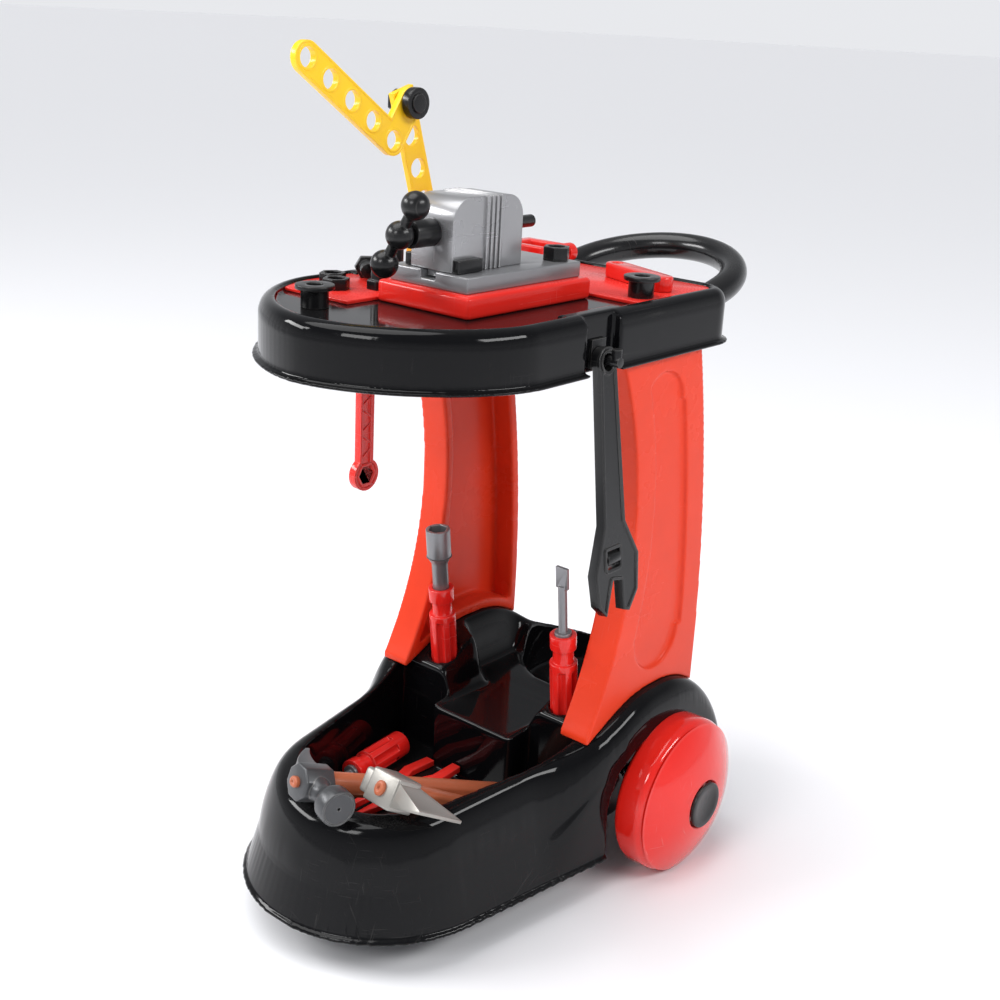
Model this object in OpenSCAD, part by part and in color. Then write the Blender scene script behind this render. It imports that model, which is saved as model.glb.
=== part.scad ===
// Toy tool bench on two wheels: a moulded base with a deep basin, two curved
// uprights, a work tray with vise and crane, hanging wrenches and loose tools.
// X runs across the bench, -Y is the basin end, +Y the push handle end, Z is up.
// The floor is Z = 0 and the origin lies under the middle of the whole bench.

/* [Wheels] */
// Radius of the rear wheels
wheel_r = 58; // [50:1:64]
// Depth of a wheel along the axle, dome included
wheel_w = 42; // [36:1:48]
// Distance from the middle plane to the inner face of a wheel
wheel_in = 108; // [104:1:114]
// Position of the axle along the bench
axle_y = 58; // [54:1:62]
// Radius of the steel axle
axle_r = 4; // [3:0.5:6]
// Radial running clearance of a wheel on the axle
axle_fit = 0.08; // [0.05:0.01:0.1]

/* [Base] */
// Half width of the base at the uprights
base_w = 112; // [104:1:116]
// Radius of the round front end of the base
base_r = 93; // [84:1:98]
// Front tip of the base
base_front = -214; // [-230:1:-208]
// Height of the base's bottom edge above the floor
base_z0 = 26; // [18:1:32]
// Height of the front rim of the basin
rim_z = 98; // [90:1:104]
// Height of the shoulders over the wheels
fender_z = 139; // [132:1:150]
// Wall thickness of the moulded shells
wall = 3; // [2:0.2:4]
// Width of the flat rim between the base's outside and the basin
rim_w = 30; // [24:1:36]
// Height of the basin floor
basin_z = 52; // [44:1:60]
// Rear edge of the basin
basin_back = -14; // [-24:1:-8]
// Radius of the round cup behind the platform
cup_r = 60; // [50:1:64]
// Position of the cup's middle along the bench
cup_y = 118; // [114:1:122]
// Distance of each front foot from the middle plane
foot_w = 40; // [30:1:48]

/* [Uprights] */
// Distance from the middle plane to the outer face of an upright
post_x = 98; // [94:1:99]
// Depth of an upright across the bench
post_w = 24; // [18:1:28]
// Depth of the curved pocket in the outer face
pocket_d = 3; // [2:0.5:5]

/* [Tray] */
// Half width of the tray
tray_w = 102; // [102:1:108]
// Height of the tray's top rim
tray_z = 421; // [400:1:440]
// Height of the tray's skirt
tray_h = 37; // [30:1:44]
// Front tip of the tray
tray_front = -203; // [-212:1:-190]
// Rear edge of the tray
tray_back = 110; // [104:1:120]
// Depth of the deck below the rim
deck_drop = 4; // [2:0.5:7]
// Width of the raised rim
tray_rim = 11; // [8:1:16]
// Position of the side notches
notch_y = -44; // [-56:1:-40]
// Width of a side notch
notch_w = 33; // [26:1:40]
// Depth of a side notch
notch_d = 6; // [4:0.5:9]

/* [Push handle] */
// Radius of the handle tube
handle_r = 10; // [8:0.5:12]
// Half the distance between the two legs
handle_x = 66; // [54:1:72]
// Length of the straight legs outside the tray
handle_leg = 34; // [20:1:44]
// Upward slope of the handle
handle_a = 14; // [8:1:22]

/* [Vise] */
// Middle of the vise across the bench
vise_x = 16; // [10:1:22]
// Width of the red plinth
plinth_w = 76; // [66:1:84]
// Length of the red plinth
plinth_l = 120; // [108:1:130]
// Rear end of the plinth
plinth_back = 4; // [-4:1:10]
// Height of the plinth above the deck
plinth_h = 14; // [10:1:18]
// Height of the grey bed
bed_h = 10; // [8:1:14]
// Width of the grey bed
bed_w = 64; // [54:1:70]
// Height of the jaws above the bed
jaw_h = 44; // [36:1:52]
// Width of the jaws
jaw_w = 34; // [28:1:40]
// Length of one jaw along the bench
jaw_l = 32; // [26:1:36]
// Travel of the front jaw
jaw_travel = 18; // [12:1:20]
// Radius of the vise screw
screw_r = 4; // [3:0.5:5]
// Height of the screw above the bed
screw_up = 23; // [20:1:26]

/* [Crane] */
// Distance between two holes of the yellow strips
pitch = 22.5; // [20:0.5:24]
// Radius of the strip holes
hole_r = 6.2; // [5:0.1:7]
// Width of the strips
strip_w = 20; // [18:0.5:24]
// Thickness of the strips
strip_t = 5; // [4:0.5:6]
// Forward lean of the lower strip
strip_a = 18; // [10:1:30]
// Height of the lower bolt above the deck
pivot_up = 29; // [26:1:36]
// Position of the lower bolt along the bench
pivot_y = -17; // [-24:1:-10]

/* [Tools] */
// Distance between the ring centres of the red wrench
ring_cc = 121; // [100:1:130]
// Length of the black wrench from its hook hole to its jaw end
wrench_l = 162; // [140:1:170]
// Outward lean of the black wrench
wrench_a = 8; // [5:1:12]
// Length of the red handles of the drivers
grip_l = 78; // [66:1:84]
// Radius of the red handles of the drivers
grip_r = 10; // [8:0.5:11]
// Forward lean of the drivers
driver_a = 7; // [0:1:10]
// Depth of the driver sockets
socket_d = 24; // [18:1:30]
// Length of the wooden handles
haft_l = 150; // [130:1:165]

/* [Hidden] */
$fn = 64;
e = 0.01;
// Gap between two pieces of different bodies that lie side by side
gap = 0.4;
// Running clearance of the vise screw in the front jaw
turn_fit = 0.08;
// Clearance of the bolts in the strip holes
bolt_fit = 0.08;

axle_z = wheel_r;
fender_r = fender_z - axle_z;
arch_r = wheel_r + 7;
base_mid = base_front + base_r;
tray_bottom = tray_z - tray_h;
deck_z = tray_z - deck_drop;
insert_t = 2.5;
blend_y0 = -60;
blend_y1 = axle_y - 14;
basin_front = base_front + rim_w + 7;
basin_r = base_r - rim_w;
basin_w = base_w - rim_w + 4;
platform_z = base_top(4);
driver_x = 58;
driver_y = 4;
hook_z = tray_bottom + 9;
hook_r = 3.2;
hook_in = tray_w - notch_d;
bed_z = deck_z + plinth_h;
bed_y0 = plinth_back - plinth_l + 5;
bed_l = plinth_l - 10;
jaw_z = bed_z + bed_h;
screw_z = jaw_z + screw_up;
jaw_meet = -76;
jaw_gap = 0.6;
crane_x = -75;
pivot_z = deck_z + pivot_up;
strip_len = 4 * pitch;
elbow_drop = 28;
elbow_a = 34;

post_back = 105;
post_back_r = 942;
post_front = 14;
post_front_r = 282;
post_clip = notch_y + notch_w / 2 + wall + 1;
post_rim = 8;
post_screws_y = [6, 92];
tray_screws_y = [10, 58];
screw_hole = 1.6;
screw_seat = 4.7;
tray_mid = -106;
tray_corner = 24;
oval_n = 1.75;
lip_w = 4;
handle_z = tray_bottom + 17;
insert_x = vise_x - plinth_w / 2 - 1;
cap_r = 17;
cap_depth = 8;
dome_z0 = 22;
dome_r = (pow(wheel_r - 6, 2) + pow(wheel_w - dome_z0, 2)) / (2 * (wheel_w - dome_z0));
hook_len = 19;
hang_x = hook_in + 7;
ring_hole = 7;
ring_r = 12;
slot_w = 12;
jaw_round = 14;
hub_r = 8.5;
hub_l = 20;
screw_l = hub_l + 2 * jaw_l + 30;
ball_r = 8.5;
bar_r = 3.5;
bar_half = 22;
bar_a = 33;
bracket_w = 26;
head_r = 8;
shank_r = 6;
socket_r = 9;
haft_r = 8;
hammer_at = [38, -36];
hammer_turn = -15.2;
hammer_rise = 19.3;
hammer_l = haft_l + 22;
hatchet_at = [52, -62];
hatchet_turn = -2;
hatchet_rise = 31.1;
hatchet_l = haft_l - 22;
rest_gap = 0.3;
pliers_at = [-24, -90];
pliers_t = 5;
level_at = [-24, -150];
level_turn = -35;
level_size = [46, 16, 20];
loose_at = [-63, -40];
loose_turn = -84;
loose_l = 56;
table_z = deck_z + insert_t;
pegs_at = [[-30, -160, deck_z], [78, 26, table_z], [-82, 44, table_z]];
peg_r = 8.5;
peg_flange = 12;
peg_h = 14;
standing_bolts = [[-70, -50], [-40, -96]];
lying_bolts = [[-76, -72, -40], [-42, -46, -100]];
bolt_head_r = 8;
bolt_head_h = 6;
bolt_shank_r = 5;
bolt_l = 20;
nuts_at = [[-72, -106, 0], [-56, -118, 0], [-34, -76, 15]];
nut_r = 9;
nut_h = 7;
cap_at = [-56, 20];
cap_top_r = 19;
clamp_at = [-48, 76];
clamp_h = 14;
clamp_x = 12;
lever_at = [24, 74];
lever_turn = -20;
lever_l = 52;
lever_h = 10;

// Height of the base's top surface at a place along the bench
function base_top(y) =
    y <= blend_y0 ? rim_z + (y - base_front) * 10 / (blend_y0 - base_front)
    : y >= blend_y1 ? fender_z
    : rim_z + 10 + (fender_z - rim_z - 10) * (0.5 - 0.5 * cos(180 * (y - blend_y0)
        / (blend_y1 - blend_y0)));

// Points of an arc about (x, y), from angle a0 to a1
function arc(x, y, r, a0, a1, n) = [for (i = [0 : n]) let (a = a0 + (a1 - a0) * i / n)
    [x + r * cos(a), y + r * sin(a)]];

// Side outline of the base, lowered by an inset on every face
module base_side(inset) {
    r = fender_r - inset;
    z0 = base_z0 - (inset > 0 ? 1 : 0);
    polygon(concat([[base_front - 1, z0]], arc(axle_y, axle_z, r, -asin((axle_z - z0) / r), 90, 36),
        [for (i = [12 : -1 : 0]) let (y = blend_y0 + (blend_y1 - blend_y0) * i / 12) [y, base_top(y)
            - inset]],
        [[base_front - 1, rim_z - inset]]));
}

// Teardrop plan: round front end, sides that leave it at a tangent and reach half width w at y1
function tear(r, mid, w, y1) =
    let (a = atan2(y1 - mid, w) - acos(r / norm([w, y1 - mid])))
    concat(arc(0, mid, r, 180 - a, 360 + a, 40), [[w, y1]]);

module base_plan(inset) {
    w = base_w - inset;
    y2 = axle_y + 2 * fender_r;
    polygon(concat(tear(base_r - inset, base_mid, w, 6), [[w, y2], [-w, y2], [-w, 6]]));
}

module basin_plan(grow) {
    difference() {
        polygon(concat(tear(basin_r + grow, basin_front + basin_r, basin_w + grow, basin_back + grow),
            [[-basin_w - grow, basin_back + grow]]));
        translate([-38 + grow, basin_back - 18 + grow]) square([76 - 2 * grow, 60]);
    }
}

// Turns a side outline (y, z) into a solid between two x values
module across(x0, x1) {
    translate([x0, 0, 0]) rotate([90, 0, 90]) linear_extrude(x1 - x0) children();
}

// Turns an outline (x, z) into a solid between two y values
module across_y(y0, y1) {
    translate([0, y1, 0]) rotate([90, 0, 0]) linear_extrude(y1 - y0) children();
}

module base_body(inset) {
    intersection() {
        across(-base_w - 2, base_w + 2) base_side(inset);
        translate([0, 0, base_z0 - 2]) linear_extrude(fender_z) base_plan(inset);
    }
}

// A wheel well on one side, s = -1 or 1
module well(s, grow) {
    x0 = wheel_in - 30 - grow;
    mirror([s < 0 ? 1 : 0, 0, 0]) translate([x0, axle_y, axle_z]) rotate([0, 90, 0]) {
        cylinder(r = arch_r + grow, h = 60, $fn = 96);
        translate([0, -arch_r - grow, 0]) cube([80, 2 * (arch_r + grow), 60]);
    }
}

// Places its children in the axis frame of a leaning driver, s = -1 or 1
module at_driver(s) {
    translate([s * driver_x, driver_y, platform_z - socket_d]) rotate([driver_a, 0, 0]) children();
}

module cup(r, z0) {
    intersection() {
        translate([0, cup_y, z0]) cylinder(r = r, h = fender_z, $fn = 96);
        across(-r, r) polygon([[cup_y - r - 1, z0], [cup_y - r - 1, fender_z + 1], [axle_y, fender_z + 1],
            [cup_y + r + 1, fender_z - 46], [cup_y + r + 1, z0]]);
    }
}

module base_shell() {
    color([0.05, 0.05, 0.06]) difference() {
        union() {
            difference() {
                base_body(0);
                difference() {
                    base_body(wall);
                    translate([0, 0, basin_z - wall]) linear_extrude(fender_z) basin_plan(wall);
                    for (s = [-1, 1]) {
                        well(s, wall);
                        at_driver(s) translate([0, 0, -wall]) cylinder(r = grip_r + gap + wall, h = 60);
                        translate([s * (wheel_in - 40), axle_y, axle_z]) rotate([0, 90, 0])
                            cylinder(r = axle_r + 5, h = 24, center = true);
                    }
                    cup(cup_r, base_z0);
                }
            }
            difference() {
                cup(cup_r, base_z0);
                translate([0, 0, 1 - wall]) cup(cup_r - wall, base_z0);
            }
            intersection() {
                cup(cup_r, base_z0);
                translate([0, cup_y, basin_z + 20]) cylinder(r = cup_r, h = wall);
            }
            difference() {
                translate([0, 0, base_z0]) linear_extrude(2.4) base_plan(-3);
                translate([0, 0, base_z0 - 1]) linear_extrude(6) base_plan(wall);
                translate([-base_w - 9, axle_y + fender_r + 4, 0]) cube([2 * base_w + 18, 200, 99]);
            }
        }
        translate([0, 0, basin_z]) linear_extrude(fender_z) basin_plan(0);
        translate([0, cup_y, basin_z + 20 + wall]) cylinder(r = cup_r - wall, h = fender_z, $fn = 96);
        translate([0, cup_y, base_z0 - 1]) cylinder(r = cup_r - wall, h = basin_z + 21 - base_z0, $fn = 96);
        for (s = [-1, 1]) {
            well(s, 0);
            at_driver(s) cylinder(r = grip_r + gap, h = 80);
            for (y = post_screws_y) translate([s * (post_x - post_w / 2), y, top_at(y) - 6])
                cylinder(r = screw_hole, h = 10);
        }
        translate([0, axle_y, axle_z]) rotate([0, 90, 0]) cylinder(r = axle_r, h = 220, center = true);
    }
}

module front_feet() {
    color([0.08, 0.08, 0.08]) for (s = [-1, 1]) translate([s * foot_w, basin_front + 48, 0]) {
        cylinder(r = 11, h = 8);
        cylinder(r = 7, h = basin_z - wall);
    }
}

// Side outline of an upright: two arcs between the base and the tray deck
module post_side(inset) {
    top = deck_z - wall;
    difference() {
        intersection() {
            translate([post_back - post_back_r, 150]) circle(r = post_back_r - inset, $fn = 360);
            translate([post_clip + inset, 90]) square([260, top - 90 - inset]);
        }
        translate([post_front - post_front_r, 262]) circle(r = post_front_r + inset, $fn = 360);
        base_side(-inset);
    }
}

// Height of the base's top under an upright
function top_at(y) = y <= axle_y ? base_top(y) : axle_z + sqrt(pow(fender_r, 2) - pow(y - axle_y, 2));

module upright(s) {
    x0 = post_x - post_w;
    color([0.85, 0.1, 0.05]) mirror([s < 0 ? 1 : 0, 0, 0]) difference() {
        across(x0, post_x) post_side(0);
        across(x0 - 1, post_x - pocket_d - wall) post_side(post_rim);
        across(post_x - pocket_d, post_x + 1) pocket_side();
        for (y = post_screws_y) translate([post_x - post_w / 2, y, top_at(y) - 4])
            cylinder(r = screw_hole, h = 11);
        for (y = tray_screws_y) translate([post_x - post_w / 2, y, deck_z - wall - 20])
            cylinder(r = screw_hole, h = 30);
    }
}

// Long curved pocket that follows the two arcs of the upright
module pocket_side() {
    intersection() {
        difference() {
            translate([post_back - post_back_r, 150]) circle(r = post_back_r - 22, $fn = 360);
            translate([post_front - post_front_r, 262]) circle(r = post_front_r + 22, $fn = 360);
        }
        union() {
            translate([-20, 178]) square([140, 172]);
            translate([52, 178]) circle(r = 26);
            translate([36, 350]) circle(r = 22);
        }
    }
}

// A countersunk-free pan head screw pointing up, head below z = 0
module screw(len) {
    cylinder(r = screw_hole - 0.1, h = len);
    translate([0, 0, -2]) cylinder(r = 3.2, h = 2);
}

module upright_screws() {
    color([0.6, 0.6, 0.62]) for (s = [-1, 1], y = post_screws_y)
        translate([s * (post_x - post_w / 2), y, top_at(y) - screw_seat]) screw(screw_seat + 6);
}

module tray_screws() {
    color([0.6, 0.6, 0.62]) for (s = [-1, 1], y = tray_screws_y)
        translate([s * (post_x - post_w / 2), y, deck_z - wall - post_rim]) screw(post_rim + 2);
}

// Plan of the tray: straight sides, rounded rear corners, oval front
module tray_full(grow) {
    w = tray_w + grow;
    r = tray_corner + grow;
    oval = tray_mid - tray_front + grow;
    y = tray_back - tray_corner;
    polygon(concat([for (i = [-24 : 24]) let (t = i * 90 / 24)
        [w * sign(t) * pow(abs(sin(t)), 2 / oval_n), tray_mid - oval * pow(cos(t), 2 / oval_n)]],
        arc(w - r, y, r, 0, 90, 12), arc(r - w, y, r, 90, 180, 12)));
}

module tray_plan(grow) {
    difference() {
        tray_full(grow);
        for (s = [-1, 1]) translate([s * (tray_w - notch_d + grow + 30), notch_y])
            square([60, notch_w - 2 * grow], center = true);
    }
}

module tray_shell() {
    color([0.05, 0.05, 0.06]) difference() {
        union() {
            translate([0, 0, tray_bottom]) linear_extrude(tray_h) tray_plan(0);
            translate([0, 0, tray_bottom]) linear_extrude(2.2) difference() {
                tray_plan(lip_w);
                for (s = [-1, 1]) translate([s * (hook_in + 30), notch_y])
                    square([60, notch_w], center = true);
            }
            for (s = [-1, 1]) translate([s * handle_x, tray_back - 16, handle_z])
                rotate([90 + handle_a, 0, 0])
                translate([0, 0, -18]) cylinder(r = handle_r + wall, h = 18);
        }
        translate([0, 0, tray_bottom - 1]) linear_extrude(deck_z - wall - tray_bottom + 1) tray_plan(-wall);
        translate([0, 0, deck_z]) linear_extrude(deck_drop + 1) tray_plan(-tray_rim);
        for (s = [-1, 1]) translate([s * handle_x, tray_back, handle_z]) rotate([handle_a - 90, 0, 0])
            translate([0, 0, -30]) cylinder(r = handle_r, h = 60);
        for (s = [-1, 1], y = tray_screws_y) translate([s * (post_x - post_w / 2), y, deck_z - wall - 1])
            cylinder(r = screw_hole, h = 3.4);
    }
}

module table_insert() {
    color([0.85, 0.08, 0.05]) translate([0, 0, deck_z]) linear_extrude(insert_t) difference() {
        tray_plan(-tray_rim - 0.5);
        translate([insert_x, -300]) square([300, 300 + plinth_back + 6]);
        translate([-300, -400]) square([600, 400 - 140]);
    }
}

// Push handle: two straight legs and a half round end
module push_handle() {
    color([0.07, 0.07, 0.08]) translate([0, tray_back, handle_z]) rotate([handle_a, 0, 0]) {
        for (s = [-1, 1]) translate([s * handle_x, handle_leg, 0]) rotate([90, 0, 0])
            cylinder(r = handle_r, h = handle_leg + 14);
        translate([0, handle_leg, 0]) rotate_extrude(angle = 180, $fn = 96) translate([handle_x, 0])
            circle(r = handle_r);
    }
}

module axle() {
    color([0.7, 0.7, 0.72]) translate([0, axle_y, axle_z]) rotate([0, 90, 0])
        cylinder(r = axle_r, h = 2 * (wheel_in + wheel_w - 7), center = true);
}

// Wheel turned around its own axis, inner face at z = 0
module wheel_body() {
    rotate_extrude($fn = 128) difference() {
        union() {
            square([wheel_r - 6, dome_z0 + 12]);
            translate([wheel_r - 6, 6]) circle(r = 6, $fn = 48);
            translate([0, 6]) square([wheel_r, dome_z0 - 6]);
            intersection() {
                translate([0, wheel_w - dome_r]) circle(r = dome_r, $fn = 180);
                translate([0, dome_z0 - 1]) square([wheel_r, 60]);
            }
        }
        translate([wheel_r - 60, -1]) square([axle_r + axle_fit + 60 - wheel_r, 60]);
        translate([-1, -1]) square([axle_r + axle_fit + 1, 60]);
        translate([-1, wheel_w - cap_depth]) square([cap_r + 1, 20]);
        translate([axle_r + 6, -1]) square([wheel_r - axle_r - 16, dome_z0 - 4]);
    }
}

module on_axle(s) {
    mirror([s < 0 ? 1 : 0, 0, 0]) translate([wheel_in, axle_y, axle_z]) rotate([0, 90, 0]) children();
}

module wheel(s) {
    color([0.9, 0.1, 0.05]) on_axle(s) wheel_body();
}

module hub_cap(s) {
    color([0.06, 0.06, 0.06]) on_axle(s) translate([0, 0, wheel_w - 3]) cylinder(r = cap_r, h = 2.6);
}

module axle_clips() {
    color([0.55, 0.55, 0.58]) for (s = [-1, 1]) on_axle(s) translate([0, 0, wheel_w - cap_depth + gap])
        difference() {
            cylinder(r = axle_r + 5, h = 1.6);
            translate([0, 0, -1]) cylinder(r = axle_r, h = 4);
        }
}

// Hook in a tray notch: back plate, peg and upturned tip
module hook(s) {
    color([0.05, 0.05, 0.06]) mirror([s < 0 ? 1 : 0, 0, 0]) translate([hook_in, notch_y, hook_z]) {
        translate([0, -7, -6]) cube([2, 14, 18]);
        rotate([0, 90, 0]) cylinder(r = hook_r, h = hook_len);
        translate([hook_len - hook_r, 0, 0]) cylinder(r = hook_r, h = 8);
    }
}

module vise_plinth() {
    color([0.9, 0.1, 0.06]) translate([vise_x - plinth_w / 2, plinth_back - plinth_l, deck_z])
        cube([plinth_w, plinth_l, plinth_h]);
}

module vise_bed() {
    color([0.62, 0.63, 0.65]) difference() {
        translate([vise_x - bed_w / 2, bed_y0, bed_z]) cube([bed_w, bed_l, bed_h]);
        translate([vise_x - slot_w / 2, bed_y0 - 1, jaw_z - 5]) cube([slot_w, jaw_meet - bed_y0, 6]);
    }
}

// Side outline of a jaw that rises from z = 0 and is round at its outer top corner
module jaw_side() {
    square([jaw_l - jaw_round, jaw_h]);
    square([jaw_l, jaw_h - jaw_round]);
    translate([jaw_l - jaw_round, jaw_h - jaw_round]) circle(r = jaw_round);
}

// Vertical grooves in the gripping face of a jaw
module jaw_grooves() {
    for (x = [-jaw_w / 2 + 4 : 5 : jaw_w / 2 - 4]) translate([x, 0, -1])
        cylinder(r = 1.2, h = jaw_h + 2, $fn = 24);
}

module vise_fixed_jaw() {
    color([0.7, 0.71, 0.73]) difference() {
        translate([vise_x, jaw_meet + jaw_gap / 2, jaw_z]) {
            difference() {
                across(-jaw_w / 2, jaw_w / 2) jaw_side();
                jaw_grooves();
            }
        }
        translate([vise_x, jaw_meet - 5, screw_z]) rotate([-90, 0, 0]) cylinder(r = screw_r + gap, h = 60);
    }
}

module vise_moving_jaw() {
    color([0.7, 0.71, 0.73]) difference() {
        translate([vise_x, jaw_meet - jaw_gap / 2, jaw_z + rest_gap]) {
            difference() {
                mirror([0, 1, 0]) across(-jaw_w / 2, jaw_w / 2) jaw_side();
                jaw_grooves();
            }
            translate([gap - slot_w / 2, -jaw_l + 3, -4.5]) cube([slot_w - 2 * gap, jaw_l - 8, 4.6]);
        }
        translate([vise_x, jaw_meet + 5, screw_z]) rotate([90, 0, 0])
            cylinder(r = screw_r + turn_fit, h = 60);
    }
}

module vise_stop_block() {
    color([0.05, 0.05, 0.05]) for (s = [-1, 1])
        translate([vise_x + s * (jaw_w / 2 + 2.5) - 2.5, jaw_meet - jaw_l, jaw_z + rest_gap])
            cube([5, 22, 8]);
}

module vise_screw() {
    color([0.05, 0.05, 0.05]) translate([vise_x, jaw_meet - jaw_l - gap, screw_z]) rotate([-90, 0, 0]) {
        translate([0, 0, -hub_l]) cylinder(r = hub_r, h = hub_l - gap);
        translate([0, 0, -hub_l]) cylinder(r = screw_r, h = screw_l);
    }
}

module vise_t_bar() {
    color([0.05, 0.05, 0.05]) translate([vise_x, jaw_meet - jaw_l - gap - hub_l - ball_r + 1, screw_z])
        rotate([0, bar_a, 0]) difference() {
            union() {
                cylinder(r = bar_r, h = 2 * bar_half, center = true);
                sphere(r = ball_r);
                for (s = [-1, 1]) translate([0, 0, s * bar_half]) sphere(r = ball_r);
            }
            rotate([0, -bar_a, 0]) translate([0, ball_r - 1, 0]) rotate([-90, 0, 0])
                cylinder(r = hub_r + 1, h = 5);
        }
}

// A strip of n holes, first hole at the origin, running along +Y of its plane
module strip_flat(n, square_end) {
    difference() {
        union() {
            circle(r = strip_w / 2);
            translate([-strip_w / 2, 0]) square([strip_w, (n - 1) * pitch + (square_end ? 9 : 0)]);
            if (!square_end) translate([0, (n - 1) * pitch]) circle(r = strip_w / 2);
        }
        for (i = [0 : n - 1]) translate([0, i * pitch]) circle(r = hole_r);
    }
}

module at_pivot() {
    translate([0, pivot_y, pivot_z]) children();
}

module at_elbow() {
    at_pivot() rotate([strip_a, 0, 0]) translate([0, 0, strip_len]) rotate([-strip_a, 0, 0]) children();
}

module crane_bracket() {
    color([0.95, 0.62, 0.05]) at_pivot() difference() {
        union() {
            across(crane_x - strip_t, crane_x) {
                circle(r = bracket_w / 2 - 1);
                translate([-bracket_w / 2, insert_t - pivot_up]) square([bracket_w, pivot_up - insert_t]);
            }
            translate([crane_x - strip_t, -bracket_w / 2, insert_t - pivot_up]) cube([22, bracket_w, 3]);
        }
        across(crane_x - strip_t - 1, crane_x + 1) circle(r = hole_r);
    }
}

module crane_strip() {
    color([1, 0.72, 0.05]) at_pivot() across(crane_x + gap, crane_x + gap + strip_t)
        rotate(strip_a) strip_flat(5, true);
}

module crane_elbow() {
    x0 = crane_x + 2 * gap + strip_t;
    color([1, 0.78, 0.05]) at_elbow() across(x0, x0 + strip_t) rotate(180 - elbow_a) mirror([0, 1])
        difference() {
        union() {
            circle(r = strip_w / 2);
            translate([-strip_w / 2, -elbow_drop]) square([strip_w, elbow_drop]);
            translate([0, -elbow_drop]) circle(r = strip_w / 2);
            translate([0, -elbow_drop - strip_w / 2]) square([4 * pitch, strip_w]);
            translate([4 * pitch, -elbow_drop]) circle(r = strip_w / 2);
        }
        circle(r = hole_r);
        for (i = [0 : 4]) translate([i * pitch, -elbow_drop]) circle(r = hole_r);
    }
}

// Hex bolt along +X, underside of the head at x = 0
module bolt_x(len) {
    rotate([0, 90, 0]) {
        cylinder(r = hole_r - bolt_fit, h = len);
        translate([0, 0, -5]) cylinder(r = head_r, h = 5, $fn = 6);
    }
}

// Round nut along +X with a bore for the bolt
module nut_x() {
    rotate([0, 90, 0]) difference() {
        cylinder(r = 10, h = 6);
        translate([0, 0, -1]) cylinder(r = hole_r - bolt_fit, h = 8);
    }
}

module crane_bolt_lower() {
    color([0.05, 0.05, 0.05]) at_pivot() translate([crane_x - strip_t, 0, 0])
        bolt_x(2 * strip_t + 2 * gap + 7);
}

module crane_nut_lower() {
    color([0.05, 0.05, 0.05]) at_pivot() translate([crane_x + strip_t + 2 * gap, 0, 0]) nut_x();
}

module crane_bolt_upper() {
    color([0.05, 0.05, 0.05]) at_elbow() translate([crane_x + gap, 0, 0]) bolt_x(2 * strip_t + 2 * gap + 7);
}

module crane_nut_upper() {
    color([0.05, 0.05, 0.05]) at_elbow() translate([crane_x + 2 * strip_t + 3 * gap, 0, 0]) nut_x();
}

// Flanged peg standing on its stem
module peg() {
    difference() {
        union() {
            cylinder(r = peg_r, h = peg_h);
            translate([0, 0, peg_h - wall]) cylinder(r = peg_flange, h = wall);
        }
        translate([0, 0, 5]) cylinder(r = peg_r - 3.5, h = peg_h);
    }
}

module flanged_pegs() {
    color([0.06, 0.06, 0.06]) for (p = pegs_at) translate(p) peg();
}

// Short toy bolt standing on its head
module toy_bolt() {
    cylinder(r = bolt_head_r, h = bolt_head_h, $fn = 6);
    cylinder(r = bolt_shank_r, h = bolt_l);
}

// The same bolt lying on a flat of its head, shaft along +X
module lying_bolt() {
    translate([0, 0, bolt_head_r * cos(30)]) rotate([0, 90, 0]) rotate(30) toy_bolt();
}

module toy_bolts() {
    color([0.06, 0.06, 0.06]) translate([0, 0, table_z]) {
        for (b = standing_bolts) translate([b[0], b[1], 0]) toy_bolt();
        for (b = lying_bolts) translate([b[0], b[1], 0]) rotate(b[2]) lying_bolt();
    }
}

module hex_nut(h) {
    difference() {
        cylinder(r = nut_r, h = h, $fn = 6);
        translate([0, 0, -1]) cylinder(r = nut_r * 0.6, h = h + 2);
    }
}

module toy_nuts() {
    color([0.06, 0.06, 0.06]) for (n = nuts_at) translate([n[0], n[1], table_z]) rotate(n[2])
        hex_nut(nut_h);
}

module bed_nut() {
    color([0.06, 0.06, 0.06]) translate([vise_x + bed_w / 2 - 12, bed_y0 + bed_l - 11, jaw_z])
        hex_nut(nut_h + 2);
}

module red_cap() {
    color([0.85, 0.08, 0.05]) translate([cap_at[0], cap_at[1], table_z]) {
        cylinder(r = 7, h = 18);
        translate([0, 0, 17]) cylinder(r = cap_top_r, h = 12);
        translate([-7, -7, 28]) cube([14, 14, 8]);
    }
}

// C shaped clamp lying flat, screw along Y
module red_clamp() {
    color([0.85, 0.08, 0.05]) translate([clamp_at[0], clamp_at[1], table_z]) difference() {
        translate([-22, -20, 0]) cube([40, 34, clamp_h]);
        translate([-12, -12, -1]) cube([40, 17, clamp_h + 2]);
        translate([clamp_x, 0, clamp_h / 2]) rotate([-90, 0, 0]) cylinder(r = 4 + gap, h = 30);
    }
}

module clamp_knob() {
    color([0.85, 0.08, 0.05]) translate([clamp_at[0] + clamp_x, clamp_at[1], table_z + clamp_h / 2])
        rotate([-90, 0, 0]) {
        translate([0, 0, -9]) cylinder(r = 4, h = 28);
        translate([0, 0, -9]) cylinder(r = 6, h = 3);
        translate([0, 0, 14 + gap]) cylinder(r = 6.8, h = 8);
    }
}

module red_lever() {
    color([0.85, 0.08, 0.05]) translate([lever_at[0], lever_at[1], table_z]) rotate(lever_turn)
        difference() {
        linear_extrude(lever_h) {
            circle(r = 8);
            translate([0, -8]) square([lever_l, 16]);
            translate([lever_l, 0]) circle(r = 8);
        }
        translate([0, 0, -1]) cylinder(r = 3.5, h = lever_h + 2);
    }
}

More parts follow.
